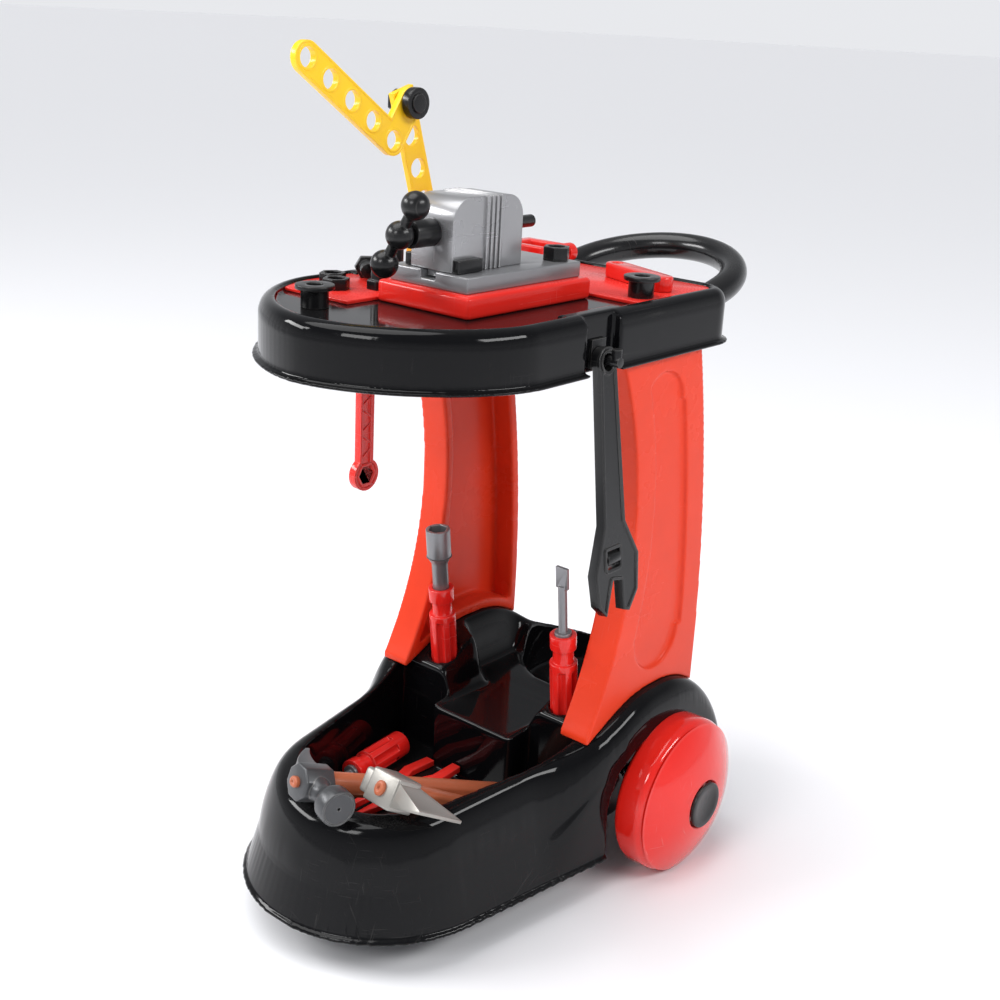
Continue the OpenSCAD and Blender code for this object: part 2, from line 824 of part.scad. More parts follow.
// Red wrench hanging by its upper ring, ring centres along Z in the YZ plane
module ring_wrench() {
    color([0.9, 0.08, 0.05]) translate([-hang_x - 3, notch_y, hook_z + hook_r + gap - ring_hole])
        across(0, 6) difference() {
            union() {
                for (z = [0, -ring_cc]) translate([0, z]) circle(r = ring_r);
                translate([-6.5, -ring_cc]) square([13, ring_cc]);
            }
            circle(r = ring_hole);
            translate([0, -ring_cc]) circle(r = ring_hole + 0.5, $fn = 6);
        }
}

// Black one piece wrench, hook hole at the origin, jaw end along -Z
module at_black_wrench() {
    translate([hang_x, notch_y, hook_z + hook_r + 2 * gap - 5.5]) rotate([0, -wrench_a, 0]) children();
}

module adjustable_wrench() {
    color([0.07, 0.07, 0.08]) at_black_wrench() across(-3.5, 3.5) difference() {
        union() {
            circle(r = 9.5);
            polygon([[8, 0], [-8, 0], [-11, 60 - wrench_l], [-22, 30 - wrench_l], [-20, 10 - wrench_l],
                [-12, 2 - wrench_l], [-4, 24 - wrench_l], [5, 22 - wrench_l], [6, 2 - wrench_l],
                [12, -wrench_l], [22, 12 - wrench_l], [24, 36 - wrench_l], [11, 60 - wrench_l]]);
        }
        circle(r = 5.5);
        translate([-9, -wrench_l + 32]) square([13, 12]);
    }
}

// Knurled worm held in the window of the black wrench
module wrench_worm() {
    color([0.05, 0.05, 0.05]) at_black_wrench() translate([0, -8.9, -wrench_l + 38]) rotate([-90, 0, 0])
        cylinder(r = 4.4, h = 12.8);
}

// Handle with six grip flutes, standing on z = 0
module grip(len) {
    difference() {
        union() {
            cylinder(r = grip_r, h = len * 0.72);
            translate([0, 0, len * 0.72 - e]) cylinder(r = grip_r - 2.5, h = len * 0.14);
            translate([0, 0, len * 0.86 - e]) cylinder(r = grip_r - 0.5, h = len * 0.14);
        }
        for (a = [0 : 60 : 300]) rotate(a) translate([grip_r + 1, 0, 12]) cylinder(r = 3, h = len * 0.5);
        translate([0, 0, len - 10]) cylinder(r = shank_r, h = 20);
    }
}

module nut_driver_grip() {
    color([0.88, 0.1, 0.06]) at_driver(-1) translate([0, 0, gap]) grip(grip_l);
}

module nut_driver_shaft() {
    color([0.55, 0.56, 0.57]) at_driver(-1) translate([0, 0, gap + grip_l - 10]) difference() {
        union() {
            cylinder(r = shank_r, h = 34);
            translate([0, 0, 30]) cylinder(r1 = shank_r, r2 = socket_r, h = 6);
            translate([0, 0, 36 - e]) cylinder(r = socket_r, h = 22);
        }
        translate([0, 0, 44]) cylinder(r = socket_r - 2, h = 20, $fn = 6);
    }
}

module screwdriver_grip() {
    color([0.88, 0.1, 0.06]) at_driver(1) translate([0, 0, gap]) grip(grip_l);
}

// Round shank flattened to a slotted tip of width w
module blade(len, w) {
    cylinder(r = shank_r, h = 12);
    cylinder(r = 3.2, h = len - 14);
    translate([-w / 2, -1.2, len - 16]) cube([w, 2.4, 16]);
}

module screwdriver_blade() {
    color([0.6, 0.61, 0.62]) at_driver(1) translate([0, 0, gap + grip_l - 10]) blade(62, 10);
}

// Frame of a tool that leans on the basin rim: butt near the floor, haft along +Z
module at_tool(butt, turn, rise) {
    translate([butt[0], butt[1], basin_z + rest_gap + haft_r * cos(rise)]) rotate(turn)
        rotate([90 - rise, 0, 0]) children();
}

module haft(len) {
    difference() {
        cylinder(r = haft_r, h = len);
        for (s = [-1, 1]) translate([s * (haft_r + 22 - 1.6), 0, 30]) cylinder(r = 22, h = len * 0.45);
    }
}

module hammer_haft() {
    color([0.62, 0.3, 0.15]) at_tool(hammer_at, hammer_turn, hammer_rise) haft(hammer_l);
}

module hammer_head() {
    color([0.2, 0.21, 0.22]) at_tool(hammer_at, hammer_turn, hammer_rise) translate([0, 0, hammer_l - 8])
        difference() {
            union() {
                translate([-12, -9, -11]) cube([24, 20, 22]);
                rotate([0, 90, 0]) cylinder(r = 8, h = 28);
                translate([28, 0, 0]) rotate([0, 90, 0]) cylinder(r = 11.5, h = 11);
                for (s = [-1, 1]) translate([-27, s * 5.5 - 3.5, -11]) cube([16, 7, 12]);
                for (s = [-1, 1]) translate([-36, s * 5.5 - 3.5, -18]) cube([10, 7, 12]);
            }
            translate([0, 0, -30]) cylinder(r = haft_r, h = 60);
        }
}

module hatchet_haft() {
    color([0.62, 0.3, 0.15]) at_tool(hatchet_at, hatchet_turn, hatchet_rise) haft(hatchet_l);
}

module hatchet_head() {
    color([0.6, 0.59, 0.56]) at_tool(hatchet_at, hatchet_turn, hatchet_rise)
        translate([0, 0, hatchet_l - 10])
        difference() {
            union() {
                translate([-12, -11, -12]) cube([24, 22, 24]);
                across_y(-4, 4) polygon([[11, -10], [44, -22], [44, 24], [11, 10]]);
                rotate([0, -90, 0]) cylinder(r = 9, h = 20);
            }
            translate([0, 0, -30]) cylinder(r = haft_r, h = 60);
        }
}

// Half of the flat pliers: jaw in front of the pivot, curved handle behind it
module pliers_half(z0, z1) {
    translate([0, 0, z0]) linear_extrude(z1 - z0) difference() {
        union() {
            circle(r = 10);
            polygon([[-0.4, 4], [-1, 40], [-4, 40], [-9, 4]]);
            polygon([[9, -2], [0, -9], [10, -34], [9, -57], [17, -57], [19, -34]]);
        }
        circle(r = 4);
    }
}

module at_pliers() {
    translate([pliers_at[0], pliers_at[1], basin_z + rest_gap]) rotate(180) children();
}

module pliers_jaw_a() {
    color([0.88, 0.1, 0.06]) at_pliers() pliers_half(0, pliers_t);
}

module pliers_jaw_b() {
    color([0.88, 0.1, 0.06]) at_pliers() mirror([1, 0, 0])
        pliers_half(pliers_t + rest_gap, 2 * pliers_t + rest_gap);
}

module pliers_pin() {
    color([0.5, 0.5, 0.52]) at_pliers() {
        cylinder(r = 3.94, h = 2 * pliers_t + 2 * rest_gap);
        translate([0, 0, 2 * pliers_t + 2 * rest_gap]) cylinder(r = 6, h = 2);
    }
}

module spirit_level() {
    color([0.05, 0.05, 0.05]) translate([level_at[0], level_at[1], basin_z + rest_gap]) rotate(level_turn)
        translate([-level_size[0] / 2, -level_size[1] / 2, 0]) cube(level_size);
}

// Axis frame of the short driver that lies on the basin floor
module at_loose_driver() {
    translate([loose_at[0], loose_at[1], basin_z + rest_gap + grip_r]) rotate(loose_turn)
        rotate([0, 90, 0]) children();
}

module loose_driver_grip() {
    color([0.88, 0.1, 0.06]) at_loose_driver() grip(loose_l);
}

module loose_driver_blade() {
    color([0.6, 0.61, 0.62]) at_loose_driver() translate([0, 0, loose_l - 10]) blade(50, 8);
}

base_shell();
front_feet();
upright(-1);  // upright_left
upright(1);  // upright_right
upright_screws();
tray_shell();
tray_screws();
table_insert();
push_handle();
axle();
axle_clips();
wheel(-1);  // wheel_left
wheel(1);  // wheel_right
hub_cap(-1);  // hub_cap_left
hub_cap(1);  // hub_cap_right
hook(-1);  // hook_left
hook(1);  // hook_right
vise_plinth();
vise_bed();
vise_fixed_jaw();
vise_moving_jaw();
vise_stop_block();
vise_screw();
vise_t_bar();
crane_bracket();
crane_strip();
crane_elbow();
crane_bolt_lower();
crane_nut_lower();
crane_bolt_upper();
crane_nut_upper();
flanged_pegs();
toy_bolts();
toy_nuts();
bed_nut();
red_cap();
red_clamp();
clamp_knob();
red_lever();
ring_wrench();
adjustable_wrench();
wrench_worm();
nut_driver_grip();
nut_driver_shaft();
screwdriver_grip();
screwdriver_blade();
hammer_head();
hammer_haft();
hatchet_head();
hatchet_haft();
pliers_jaw_a();
pliers_jaw_b();
pliers_pin();
spirit_level();
loose_driver_grip();
loose_driver_blade();
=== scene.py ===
import math
import bpy
from mathutils import Euler, Matrix, Vector


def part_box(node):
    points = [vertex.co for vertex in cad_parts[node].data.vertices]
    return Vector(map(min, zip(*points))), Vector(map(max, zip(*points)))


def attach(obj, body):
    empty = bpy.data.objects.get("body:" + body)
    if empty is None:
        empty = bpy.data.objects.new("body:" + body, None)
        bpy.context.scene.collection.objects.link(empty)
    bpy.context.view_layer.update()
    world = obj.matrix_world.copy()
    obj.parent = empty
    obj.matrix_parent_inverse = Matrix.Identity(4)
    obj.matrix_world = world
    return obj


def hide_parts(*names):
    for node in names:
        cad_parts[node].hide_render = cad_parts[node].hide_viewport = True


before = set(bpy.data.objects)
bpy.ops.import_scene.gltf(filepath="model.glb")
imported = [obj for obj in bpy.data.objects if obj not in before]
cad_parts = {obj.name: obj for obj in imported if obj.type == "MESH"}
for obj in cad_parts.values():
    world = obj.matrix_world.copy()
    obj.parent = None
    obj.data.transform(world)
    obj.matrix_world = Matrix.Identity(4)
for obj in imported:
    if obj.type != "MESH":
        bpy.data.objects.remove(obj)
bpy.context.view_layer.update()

# ---------------------------------------------------------------- Camera
# A standing adult's view of the bench, from the basin end and the right
# wheel's side, a little above the tray.
camera_place = Vector((0.5892, -0.7282, 0.5872))
camera_aim = Vector((0.000, -0.012, 0.268))
camera_lens = 50.5
camera_roll = math.radians(3.0)
view_camera = bpy.data.objects.new("view_camera", bpy.data.cameras.new("view_camera"))
bpy.context.scene.collection.objects.link(view_camera)
view_camera.location = camera_place
view_camera.rotation_mode = "QUATERNION"
look = (camera_aim - camera_place).to_track_quat("-Z", "Y")
view_camera.rotation_quaternion = look @ Euler((0, 0, camera_roll)).to_quaternion()
view_camera.data.lens = camera_lens
view_camera.data.clip_end = 300
bpy.context.scene.camera = view_camera

# ---------------------------------------------------------------- Base
# One deep moulding of glossy black plastic: a basin in front, an arch over each
# wheel and a round cup behind. Its shoulders are broadly rounded, the platform
# is low between the uprights, and a thin flange stands proud at the bottom.


def new_group(name, inputs, outputs):
    """An empty shader group with named sockets, and its input and output nodes."""
    group = bpy.data.node_groups.new(name, "ShaderNodeTree")
    for label, kind, value in inputs:
        socket = group.interface.new_socket(label, in_out="INPUT", socket_type=kind)
        socket.default_value = value
    for label, kind in outputs:
        group.interface.new_socket(label, in_out="OUTPUT", socket_type=kind)
    return group, group.nodes.new("NodeGroupInput"), group.nodes.new("NodeGroupOutput")


def add_node(tree, kind, links=(), **settings):
    """A node with its settings made; links are (socket name or number, source socket or value)."""
    node = tree.nodes.new(kind)
    for key, value in settings.items():
        setattr(node, key, value)
    for socket, source in links:
        if isinstance(source, bpy.types.NodeSocket):
            tree.links.new(source, node.inputs[socket])
        else:
            node.inputs[socket].default_value = source
    return node


def mix_colour(tree, factor, a, b, blend="MIX"):
    """The result socket of a colour mix."""
    node = add_node(tree, "ShaderNodeMix", data_type="RGBA", blend_type=blend)
    for number, source in ((0, factor), (6, a), (7, b)):
        if isinstance(source, bpy.types.NodeSocket):
            tree.links.new(source, node.inputs[number])
        else:
            node.inputs[number].default_value = source
    return node.outputs[2]


def sums(tree, operation, a, b, clamp=False):
    """The result socket of a sum of two values."""
    return add_node(tree, "ShaderNodeMath", ((0, a), (1, b)), operation=operation, use_clamp=clamp).outputs[0]


def make_skin_group():
    """The moulded skin: uneven colour, orange peel, hairline scuffs, dust and pale rubbed edges."""
    group, given, result = new_group(
        "moulded_skin",
        [
            ("Colour", "NodeSocketColor", (0.5, 0.5, 0.5, 1)),
            ("Roughness", "NodeSocketFloat", 0.2),
            ("Mottle", "NodeSocketFloat", 0.1),
            ("Grain size", "NodeSocketFloat", 400.0),
            ("Grain", "NodeSocketFloat", 0.3),
            ("Scuffs", "NodeSocketFloat", 0.3),
            ("Edge rub", "NodeSocketFloat", 0.3),
            ("Dust", "NodeSocketFloat", 0.1),
        ],
        [
            ("Colour", "NodeSocketColor"),
            ("Roughness", "NodeSocketFloat"),
            ("Height", "NodeSocketFloat"),
        ],
    )
    place = add_node(group, "ShaderNodeTexCoord").outputs["Object"]
    cloud = add_node(
        group, "ShaderNodeTexNoise", (("Vector", place), ("Scale", 14.0), ("Detail", 4.0), ("Roughness", 0.6))
    ).outputs["Fac"]
    grain = add_node(
        group,
        "ShaderNodeTexNoise",
        (("Vector", place), ("Scale", given.outputs["Grain size"]), ("Detail", 2.0)),
    ).outputs["Fac"]
    peel = add_node(
        group, "ShaderNodeTexNoise", (("Vector", place), ("Scale", 90.0), ("Detail", 1.0))
    ).outputs["Fac"]
    streaks = []
    for turn, stretch in ((0.5, (900, 12, 40)), (1.9, (14, 1100, 60)), (0.9, (60, 10, 1000))):
        turned = add_node(
            group,
            "ShaderNodeMapping",
            (("Vector", place), ("Rotation", (turn, turn * 0.7, turn * 1.3)), ("Scale", stretch)),
        ).outputs[0]
        noise = add_node(
            group, "ShaderNodeTexNoise", (("Vector", turned), ("Scale", 1.0), ("Detail", 1.0))
        ).outputs["Fac"]
        streaks.append(
            add_node(
                group, "ShaderNodeMapRange", (("Value", noise), ("From Min", 0.68), ("From Max", 0.76))
            ).outputs[0]
        )
    scuff = sums(group, "MAXIMUM", sums(group, "MAXIMUM", streaks[0], streaks[1]), streaks[2])
    patch = add_node(
        group, "ShaderNodeMapRange", (("Value", cloud), ("From Min", 0.5), ("From Max", 0.68))
    ).outputs[0]
    scuff = sums(group, "MULTIPLY", sums(group, "MULTIPLY", scuff, patch), given.outputs["Scuffs"])
    facing = add_node(group, "ShaderNodeNewGeometry").outputs["Normal"]
    eased = add_node(group, "ShaderNodeBevel", (("Radius", 0.0012),), samples=4).outputs[0]
    match = add_node(
        group, "ShaderNodeVectorMath", ((0, facing), (1, eased)), operation="DOT_PRODUCT"
    ).outputs["Value"]
    edge = add_node(
        group, "ShaderNodeMapRange", (("Value", match), ("From Min", 0.995), ("From Max", 0.90))
    ).outputs[0]
    edge = sums(group, "MULTIPLY", sums(group, "MULTIPLY", edge, cloud), given.outputs["Edge rub"])
    split = add_node(group, "ShaderNodeSeparateXYZ", (("Vector", facing),)).outputs["Z"]
    upward = add_node(
        group, "ShaderNodeMapRange", (("Value", split), ("From Min", 0.6), ("From Max", 1.0))
    ).outputs[0]
    dust = sums(group, "MULTIPLY", sums(group, "MULTIPLY", upward, grain), given.outputs["Dust"])
    dust = sums(group, "MULTIPLY", dust, cloud)
    shade = sums(group, "MULTIPLY", sums(group, "SUBTRACT", cloud, 0.5), given.outputs["Mottle"])
    tint = add_node(
        group,
        "ShaderNodeHueSaturation",
        (("Color", given.outputs["Colour"]), ("Value", sums(group, "ADD", 1.0, shade))),
    ).outputs[0]
    rubbed_grey, dust_grey = (0.62, 0.60, 0.58, 1), (0.55, 0.53, 0.5, 1)
    rubbed = mix_colour(group, edge, tint, rubbed_grey)
    veil = sums(group, "ADD", dust, sums(group, "MULTIPLY", scuff, 0.12))
    dusted = mix_colour(group, veil, rubbed, dust_grey)
    group.links.new(dusted, result.inputs["Colour"])
    rough = sums(group, "ADD", given.outputs["Roughness"], sums(group, "MULTIPLY", shade, 0.5))
    rough = sums(group, "ADD", rough, sums(group, "MULTIPLY", scuff, 0.35))
    rough = sums(group, "ADD", rough, sums(group, "MULTIPLY", dust, 2.0), True)
    group.links.new(rough, result.inputs["Roughness"])
    height = sums(group, "MULTIPLY", grain, given.outputs["Grain"])
    height = sums(group, "ADD", height, sums(group, "MULTIPLY", peel, 0.6))
    height = sums(group, "SUBTRACT", height, sums(group, "MULTIPLY", scuff, 0.5))
    group.links.new(height, result.inputs["Height"])
    return group


moulded_skin = make_skin_group()


def plastic(name, colour, roughness, coat=0.0, metallic=0.0, bump=0.06, relief=0.00012, shine=0.30, **skin):
    """A plastic whose colour, gloss and relief all come from the moulded skin."""
    material = bpy.data.materials.new(name)
    material.use_nodes = True
    tree = material.node_tree
    shader = tree.nodes["Principled BSDF"]
    node = add_node(tree, "ShaderNodeGroup", node_tree=moulded_skin)
    node.inputs["Colour"].default_value = (*colour, 1)
    node.inputs["Roughness"].default_value = roughness
    for label, value in skin.items():
        node.inputs[label.replace("_", " ").capitalize()].default_value = value
    relief_node = add_node(
        tree,
        "ShaderNodeBump",
        (("Height", node.outputs["Height"]), ("Strength", bump * 10), ("Distance", relief)),
    )
    tree.links.new(node.outputs["Colour"], shader.inputs["Base Color"])
    tree.links.new(node.outputs["Roughness"], shader.inputs["Roughness"])
    tree.links.new(relief_node.outputs[0], shader.inputs["Normal"])
    shader.inputs["Coat Weight"].default_value = coat
    shader.inputs["Coat Roughness"].default_value = 0.06
    shader.inputs["Metallic"].default_value = metallic
    shader.inputs["Specular IOR Level"].default_value = 0.5 if metallic else shine
    return material


black_gloss = plastic(
    "black_gloss", (0.0030, 0.0030, 0.0036), 0.085, bump=0.015, shine=0.19,
    mottle=0.5, grain_size=700.0, grain=0.12, scuffs=0.22, edge_rub=0.0, dust=0.03,
)


def cad_blank(node, name):
    """A welded copy of a CAD piece, ready to be shaped and selected."""
    bpy.ops.object.select_all(action="DESELECT")
    blank = bpy.data.objects.new(name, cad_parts[node].data.copy())
    bpy.context.scene.collection.objects.link(blank)
    bpy.context.view_layer.objects.active = blank
    blank.select_set(True)
    bpy.ops.mesh.customdata_custom_splitnormals_clear()
    bpy.ops.object.mode_set(mode="EDIT")
    bpy.ops.mesh.select_all(action="SELECT")
    bpy.ops.mesh.remove_doubles(threshold=0.000003)
    bpy.ops.mesh.dissolve_limited(angle_limit=0.004)
    bpy.ops.object.mode_set(mode="OBJECT")
    return blank


def apply_modifier(piece, kind, **settings):
    """Adds a modifier and applies it at once."""
    bpy.ops.object.select_all(action="DESELECT")
    bpy.context.view_layer.objects.active = piece
    piece.select_set(True)
    modifier = piece.modifiers.new(kind.lower(), kind)
    for key, value in settings.items():
        setattr(modifier, key, value)
    bpy.ops.object.modifier_apply(modifier=modifier.name)


def melt_edges(piece, grid, passes, keep):
    """Rebuilds a shell on a fine grid and eases it, so that every edge comes out moulded."""
    apply_modifier(piece, "REMESH", mode="VOXEL", voxel_size=grid)
    apply_modifier(piece, "SMOOTH", factor=0.5, iterations=passes)
    if keep < 1:
        apply_modifier(piece, "DECIMATE", ratio=keep)
    bpy.ops.object.shade_smooth()


def hand_over(piece, body, slot, material, *nodes):
    """Gives a finished piece its material, and its place in the frame."""
    piece.data.materials.clear()
    piece.data.materials.append(material)
    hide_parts(*nodes)
    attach(piece, body)
    return piece


front_round = 0.093
front_middle = -0.121
half_width = 0.112
widest_from = 0.006
shoulder_width = 0.036
shoulder_drop = 0.042
skirt_lean = 0.009
skirt_low = 0.029
skirt_from = 0.0312
valley_floor = 0.101
valley_from = 0.064
nose_y, nose_height = -0.214, 0.098
platform_y, platform_height = -0.060, 0.108
crest_y, crest_height = 0.044, 0.139
arch_middle, arch_radius = 0.058, 0.081
cup_back = 0.140
base_grid = 0.0013


def outline_depth(x, y):
    """How far a point of the base lies inside the base's outline in plan."""
    x = abs(x)
    run = Vector((half_width, widest_from - front_middle))
    lean = math.atan2(run.y, run.x) - math.acos(front_round / run.length)
    across = Vector((math.cos(lean), math.sin(lean)))
    flat = front_round - (x * across.x + (y - front_middle) * across.y)
    side = half_width - x
    away = math.atan2(y - front_middle, x)
    if away < lean:
        flat = front_round - math.hypot(x, y - front_middle)
    return min(flat, side)


def roof_height(y):
    """Height of the base's top at a place along the bench."""
    if y <= platform_y:
        return nose_height + (y - nose_y) * (platform_height - nose_height) / (platform_y - nose_y)
    if y > arch_middle:
        return arch_middle + math.sqrt(max(arch_radius**2 - (y - arch_middle) ** 2, 0))
    if y >= crest_y:
        return crest_height
    climb = (y - platform_y) / (crest_y - platform_y)
    return platform_height + (crest_height - platform_height) * (0.5 - 0.5 * math.cos(math.pi * climb))


def inward(x, y):
    """Unit direction in plan that leads away from the base's outline."""
    step = 0.001
    slope = Vector((
        outline_depth(x + step, y) - outline_depth(x - step, y),
        outline_depth(x, y + step) - outline_depth(x, y - step),
    ))
    return slope.normalized()


def smooth_top(piece, floor_height, passes):
    """Irons out the upper skin of a shell, and fades to nothing lower down."""
    upper = piece.vertex_groups.new(name="upper_skin")
    for vertex in piece.data.vertices:
        upper.add([vertex.index], ease((vertex.co.z - floor_height) / 0.030), "REPLACE")
    apply_modifier(piece, "SMOOTH", factor=0.5, iterations=passes, vertex_group="upper_skin")
    piece.vertex_groups.clear()


def ease(value):
    """Smooth step from 0 to 1."""
    value = min(max(value, 0), 1)
    return value * value * (3 - 2 * value)


moulded_base = cad_blank("base_shell", "moulded_base")
apply_modifier(moulded_base, "REMESH", mode="VOXEL", voxel_size=base_grid)
for vertex in moulded_base.data.vertices:
    point = vertex.co
    if point.y > cup_back:
        continue
    gap = outline_depth(point.x, point.y)
    if abs(gap) < 0.0016 and point.y < 0 and point.z > skirt_from:
        away = inward(point.x, point.y)
        vertex.co.x -= away.x * gap
        vertex.co.y -= away.y * gap
    depth = max(gap, 0)
    inside = min(depth, shoulder_width)
    top = roof_height(point.y)
    fender = ease((point.y + 0.070) / 0.060)
    width = shoulder_width - 0.021 * fender
    drop = shoulder_drop - 0.024 * fender
    lift = min(max((point.z - skirt_low) / (top - skirt_low), 0), 1)
    if fender > 0:
        lift += (ease((point.z - (top - 0.040)) / 0.036) - lift) * fender
    outward = max(1 - inside / width, 0)
    round_off = drop * (1 - math.sqrt(1 - outward**2.2))
    half_valley = 0.034 + 0.024 * ease((point.y - 0.022) / 0.018)
    middle = 1 - ease((abs(point.x) - half_valley) / 0.013)
    behind = ease((point.y + 0.052) / 0.016) * (1 - ease((point.y - 0.084) / 0.030))
    valley = max(top - valley_floor, 0) * middle * behind
    sink = min(max((point.z - valley_from) / (top - valley_from), 0), 1)
    lean = skirt_lean * lift * (1 - ease(depth / 0.026)) * (1 - fender)
    if lean > 0:
        away = inward(point.x, point.y)
        vertex.co.x += away.x * lean
        vertex.co.y += away.y * lean
    vertex.co.z -= round_off * lift + valley * sink
apply_modifier(moulded_base, "SMOOTH", factor=0.5, iterations=8)
smooth_top(moulded_base, 0.034, 22)
apply_modifier(moulded_base, "DECIMATE", ratio=0.28)
bpy.ops.object.shade_smooth()
hand_over(moulded_base, "bench", "black_shell", black_gloss, "base_shell")

# Two short feet under the front, of matt rubber pressed onto moulded stems.
foot_rubber = plastic(
    "foot_rubber", (0.02, 0.02, 0.02), 0.7, bump=0.1, mottle=0.3, grain_size=900.0, grain=0.8,
    scuffs=0.4, edge_rub=0.1, dust=0.35,
)


def round_edges(piece, width, steps=3, angle=32, clamp=False):
    """Bevels every edge sharper than the angle and leaves flat faces flat."""
    apply_modifier(
        piece, "BEVEL", width=width, segments=steps, limit_method="ANGLE", angle_limit=math.radians(angle),
        use_clamp_overlap=clamp, harden_normals=False, miter_outer="MITER_ARC",
    )
    bpy.ops.object.shade_smooth_by_angle(angle=math.radians(40))


def rounded_copy(node, name, width, steps=3, angle=32, clamp=False):
    """A welded copy of a CAD piece with its edges rounded."""
    piece = cad_blank(node, name)
    round_edges(piece, width, steps, angle, clamp)
    return piece


rubber_feet = rounded_copy("front_feet", "rubber_feet", 0.0010)
hand_over(rubber_feet, "bench", "rubber_foot", foot_rubber, "front_feet")

# ---------------------------------------------------------------- Wheels
# Hollow glossy red mouldings with a softly rounded tread edge and a shallow
# dome, each with a flat black disc pressed over the end of the steel axle.
wheel_red = plastic(
    "wheel_red", (0.74, 0.016, 0.010), 0.12, coat=0.4, bump=0.03, mottle=0.25, grain_size=600.0, grain=0.12,
    scuffs=0.7, edge_rub=0.08, dust=0.05,
)
black_satin = plastic(
    "black_satin", (0.006, 0.006, 0.0066), 0.27, coat=0.1, bump=0.06, mottle=0.4, grain_size=900.0, grain=0.5,
    scuffs=0.5, edge_rub=0.16, dust=0.08,
)
axle_steel = plastic(
    "axle_steel", (0.55, 0.55, 0.57), 0.28, metallic=1.0, bump=0.05, mottle=0.3, grain_size=1200.0, grain=0.3,
    scuffs=0.8, edge_rub=0.3, dust=0.0,
)
axle_y, axle_z, wheel_inner = 0.058, 0.058, 0.108


def turn_on_lathe(name, profile, steps=96):
    """Spins a profile of (radius, height) points about Z into a closed piece."""
    bpy.ops.object.select_all(action="DESELECT")
    mesh = bpy.data.meshes.new(name)
    points = [(r, 0, z) for r, z in profile]
    mesh.from_pydata(points, [(i, i + 1) for i in range(len(points) - 1)], [])
    piece = bpy.data.objects.new(name, mesh)
    bpy.context.scene.collection.objects.link(piece)
    bpy.context.view_layer.objects.active = piece
    piece.select_set(True)
    bpy.ops.object.mode_set(mode="EDIT")
    bpy.ops.mesh.select_all(action="SELECT")
    bpy.ops.mesh.spin(steps=steps, angle=math.tau, center=(0, 0, 0), axis=(0, 0, 1))
    bpy.ops.mesh.select_all(action="SELECT")
    bpy.ops.mesh.remove_doubles(threshold=0.000004)
    bpy.ops.mesh.normals_make_consistent(inside=False)
    bpy.ops.object.mode_set(mode="OBJECT")
    bpy.ops.object.shade_smooth_by_angle(angle=math.radians(38))
    return piece


def quarter(r, z, size, start, end, steps=6):
    """Points of an arc in a profile, from one angle to another, in degrees."""
    angles = [math.radians(start + (end - start) * i / steps) for i in range(steps + 1)]
    return [(r + size * math.cos(a), z + size * math.sin(a)) for a in angles]


def put(piece, matrix):
    """Puts a piece where it belongs and leaves its object at the origin."""
    piece.data.transform(matrix)
    if matrix.determinant() < 0:
        piece.data.flip_normals()
    piece.data.update()
    return piece


def axle_frame(side):
    """Frame of a wheel: outward along the axle from the wheel's inner face."""
    place = Matrix.Translation((side * wheel_inner, axle_y, axle_z))
    return place @ Matrix.Rotation(side * math.pi / 2, 4, "Y")


dome_r, dome_height, dome_sag, hub_r = 0.0560, 0.0405, 0.0155, 0.0190
dome_steps = [1 - i / 14 for i in range(15)]
dome = [(dome_r * t, dome_height - dome_sag * (t**2.4)) for t in dome_steps if dome_r * t > hub_r]
wheel_profile = (
    [(0.00408, 0.0), (0.0085, 0.0), (0.0098, 0.0012), (0.0100, 0.0180), (0.0445, 0.0180), (0.0465, 0.0012)]
    + quarter(0.0530, 0.0050, 0.0050, -90, 0)
    + quarter(0.0505, 0.0175, 0.0075, 0, 62, 8)
    + [(0.0525, 0.0262)]
    + dome
    + [(0.0188, 0.0394), (0.0176, 0.0386), (0.0172, 0.0375), (0.0172, 0.0340)]
    + [(0.00408, 0.0340), (0.00408, 0.0)]
)
disc_profile = [(0.0, 0.0390), (0.0160, 0.0390), (0.0170, 0.0396), (0.0170, 0.0408)]
disc_profile += quarter(0.0162, 0.0408, 0.0008, 0, 90, 4)
disc_profile += [(0.0120, 0.0414), (0.0112, 0.0411), (0.0, 0.0411)]
for side, word in ((-1, "left"), (1, "right")):
    body = "wheel_l" if side < 0 else "wheel_r"
    wheel = put(turn_on_lathe("wheel_%s_moulding" % word, wheel_profile, 128), axle_frame(side))
    hand_over(wheel, body, "red_plastic", wheel_red, "wheel_" + word)
    disc = put(turn_on_lathe("hub_disc_" + word, disc_profile, 72), axle_frame(side))
    hand_over(disc, body, "black_plastic", black_satin, "hub_cap_" + word)
hand_over(rounded_copy("axle", "steel_axle", 0.0008), "bench", "steel", axle_steel, "axle")
hand_over(rounded_copy("axle_clips", "push_on_clips", 0.0003), "bench", "steel", axle_steel, "axle_clips")

# ---------------------------------------------------------------- Uprights
# Two curved red panels with a satin skin, pocketed on the outer face and open
# on the inner one, screwed up through the base and down through the deck.
upright_red = plastic(
    "upright_red", (0.74, 0.046, 0.014), 0.27, coat=0.03, bump=0.09, shine=0.18, mottle=0.3,
    grain_size=1100.0, grain=0.9, scuffs=0.5, edge_rub=0.12, dust=0.06,
)
for word in ("left", "right"):
    panel = cad_blank("upright_" + word, "curved_upright_" + word)
    melt_edges(panel, 0.0011, 7, 0.35)
    hand_over(panel, "bench", "red_panel", upright_red, "upright_" + word)
for node, name in (("upright_screws", "base_screws"), ("tray_screws", "deck_screws")):
    hand_over(rounded_copy(node, name, 0.0003), "bench", "steel", axle_steel, node)

